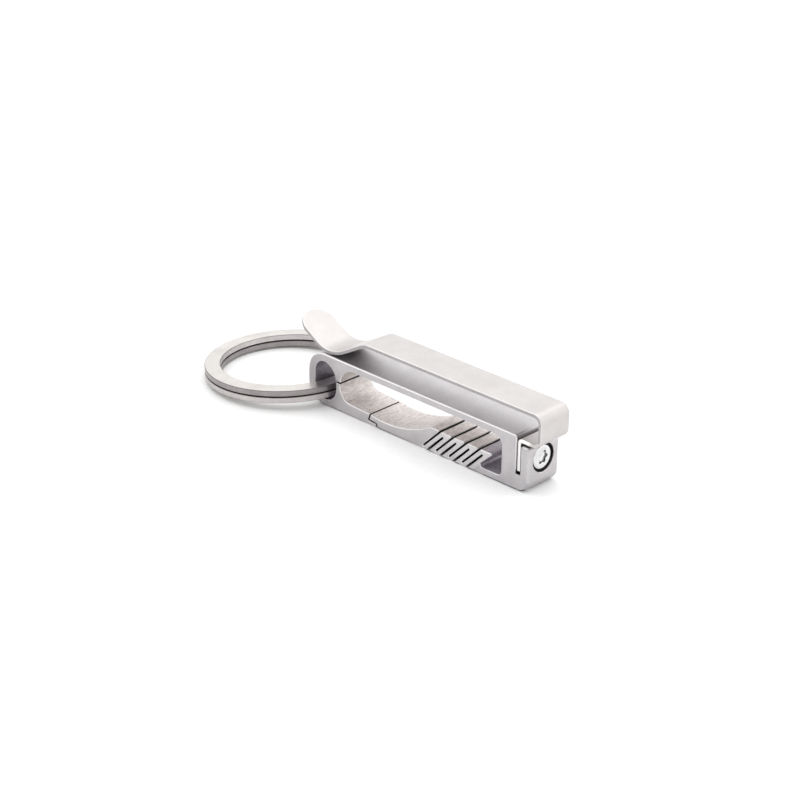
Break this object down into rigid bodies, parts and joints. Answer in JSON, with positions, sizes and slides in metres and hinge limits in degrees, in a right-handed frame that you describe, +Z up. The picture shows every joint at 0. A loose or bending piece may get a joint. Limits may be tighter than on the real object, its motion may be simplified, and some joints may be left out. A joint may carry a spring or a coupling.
{
  "type": "key ring carabiner with belt clip",
  "caption": "Wire-cut titanium key carabiner with a sprung hook gate, a bent sheet belt clip held by a screw, and a two-turn split ring.",
  "frame": {"origin": "under the middle of the whole object's box, on the face it lies on", "axes": "+X along the frame from the ring towards the clip screw, +Y across its width, +Z up from the gate side to the belt clip"},
  "size_m": [0.0912, 0.0351, 0.017],
  "materials": {
    "blasted_titanium": "fine bead-blasted titanium, satin",
    "wire_cut_titanium": "wire-cut titanium, fine matt grain",
    "sheet_titanium": "fine bead-blasted titanium sheet, satin",
    "polished_steel": "polished stainless steel",
    "ring_titanium": "tumbled titanium, satin"
  },
  "bodies": {
    "frame": {"frame": "blasted_titanium", "gate_spring": "wire_cut_titanium", "clip_root": "sheet_titanium", "clip_screw": "polished_steel"},
    "gate": {"gate": "blasted_titanium"},
    "clip_arm": {"clip_arm": "sheet_titanium"},
    "split_ring": {"split_ring": "ring_titanium"}
  },
  "joints": [
    {"name": "gate_flex", "type": "hinge", "parent": "frame", "child": "gate", "pos_m": [0.02461, 0, 0.0026], "axis": [0, 1, 0], "range_deg": [0, 10], "stiffness_Nm_per_rad": 0.5, "deforming": ["gate_spring"]},
    {"name": "clip_flex", "type": "hinge", "parent": "frame", "child": "clip_arm", "pos_m": [0.04511, 0, 0.0117], "axis": [0, 1, 0], "range_deg": [0, 3.5], "stiffness_Nm_per_rad": 12},
    {"name": "ring_swing", "type": "hinge", "parent": "frame", "child": "split_ring", "pos_m": [-0.01159, 0, 0.0032], "axis": [0, 1, 0], "range_deg": [0, 75]}
  ]
}
